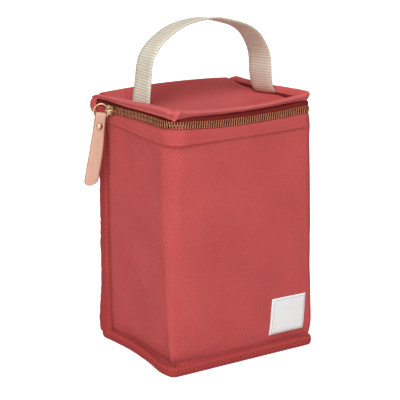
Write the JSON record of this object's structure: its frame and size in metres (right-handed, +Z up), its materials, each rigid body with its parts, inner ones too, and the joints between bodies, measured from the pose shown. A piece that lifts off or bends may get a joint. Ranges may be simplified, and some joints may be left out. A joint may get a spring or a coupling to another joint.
{
  "type": "insulated lunch bag",
  "caption": "Soft insulated lunch bag with a zip round three sides of its lid, a standing webbing handle, a leather zip pull and a blank sewn label.",
  "frame": {"origin": "middle of the flat underside, on the surface the bag stands on", "axes": "+X to the right and +Y to the back as seen from the front, where the label is; +Z up; the lid hinges at the back"},
  "size_m": [0.1545, 0.1145, 0.269],
  "materials": {
    "red_cloth": "coarse twill",
    "foam": "closed-cell foam sheet",
    "lining": "pale wipe-clean film",
    "zip_tape": "woven tape",
    "brass": "antique brass",
    "webbing": "ribbed cotton webbing",
    "leather": "natural vegetable-tanned leather",
    "label": "woven satin"
  },
  "bodies": {
    "bag": {"outer_panel": "red_cloth", "back_panel": "red_cloth", "base_panel": "red_cloth", "wall_foam": "foam", "back_foam": "foam", "base_foam": "foam", "body_lining": "lining", "mouth_binding": "red_cloth", "lower_zip_tape": "zip_tape", "lower_zip_teeth": "brass", "zip_end_stops": "brass", "zip_facing": "red_cloth", "base_binding": "red_cloth", "rear_strip_left": "red_cloth", "rear_strip_right": "red_cloth", "hinge_strip": "red_cloth", "woven_label": "label"},
    "lid": {"lid_panel": "red_cloth", "lid_lip": "red_cloth", "lid_back_strip": "red_cloth", "lid_foam": "foam", "lid_lining": "lining", "upper_zip_tape": "zip_tape", "upper_zip_teeth": "brass", "handle_foot_left": "webbing", "handle_foot_right": "webbing"},
    "handle": {"handle_loop": "webbing"},
    "slider": {"zip_slider": "brass"},
    "ring": {"pull_ring": "brass"},
    "pull": {"leather_pull": "leather", "pull_rivet": "brass"}
  },
  "joints": [
    {"name": "lid_hinge", "type": "hinge", "parent": "bag", "child": "lid", "pos_m": [0, 0.05455, 0.197], "axis": [-1, 0, 0], "range_deg": [0, 120]},
    {"name": "handle_sway", "type": "hinge", "parent": "lid", "child": "handle", "pos_m": [0, 0, 0.2212], "axis": [1, 0, 0], "range_deg": [-75, 75], "stiffness_Nm_per_rad": 0.02},
    {"name": "slider_travel", "type": "slide", "parent": "bag", "child": "slider", "axis": [0, -1, 0], "range_m": [0, 0.07]},
    {"name": "ring_turn", "type": "hinge", "parent": "slider", "child": "ring", "pos_m": [-0.0689, 0.031, 0.1962], "axis": [0, 0, 1], "range_deg": [-40, 90]},
    {"name": "pull_swing", "type": "hinge", "parent": "ring", "child": "pull", "pos_m": [-0.0742, 0.03347, 0.1962], "axis": [0.4226, 0.9063, 0], "range_deg": [0, 110]}
  ]
}
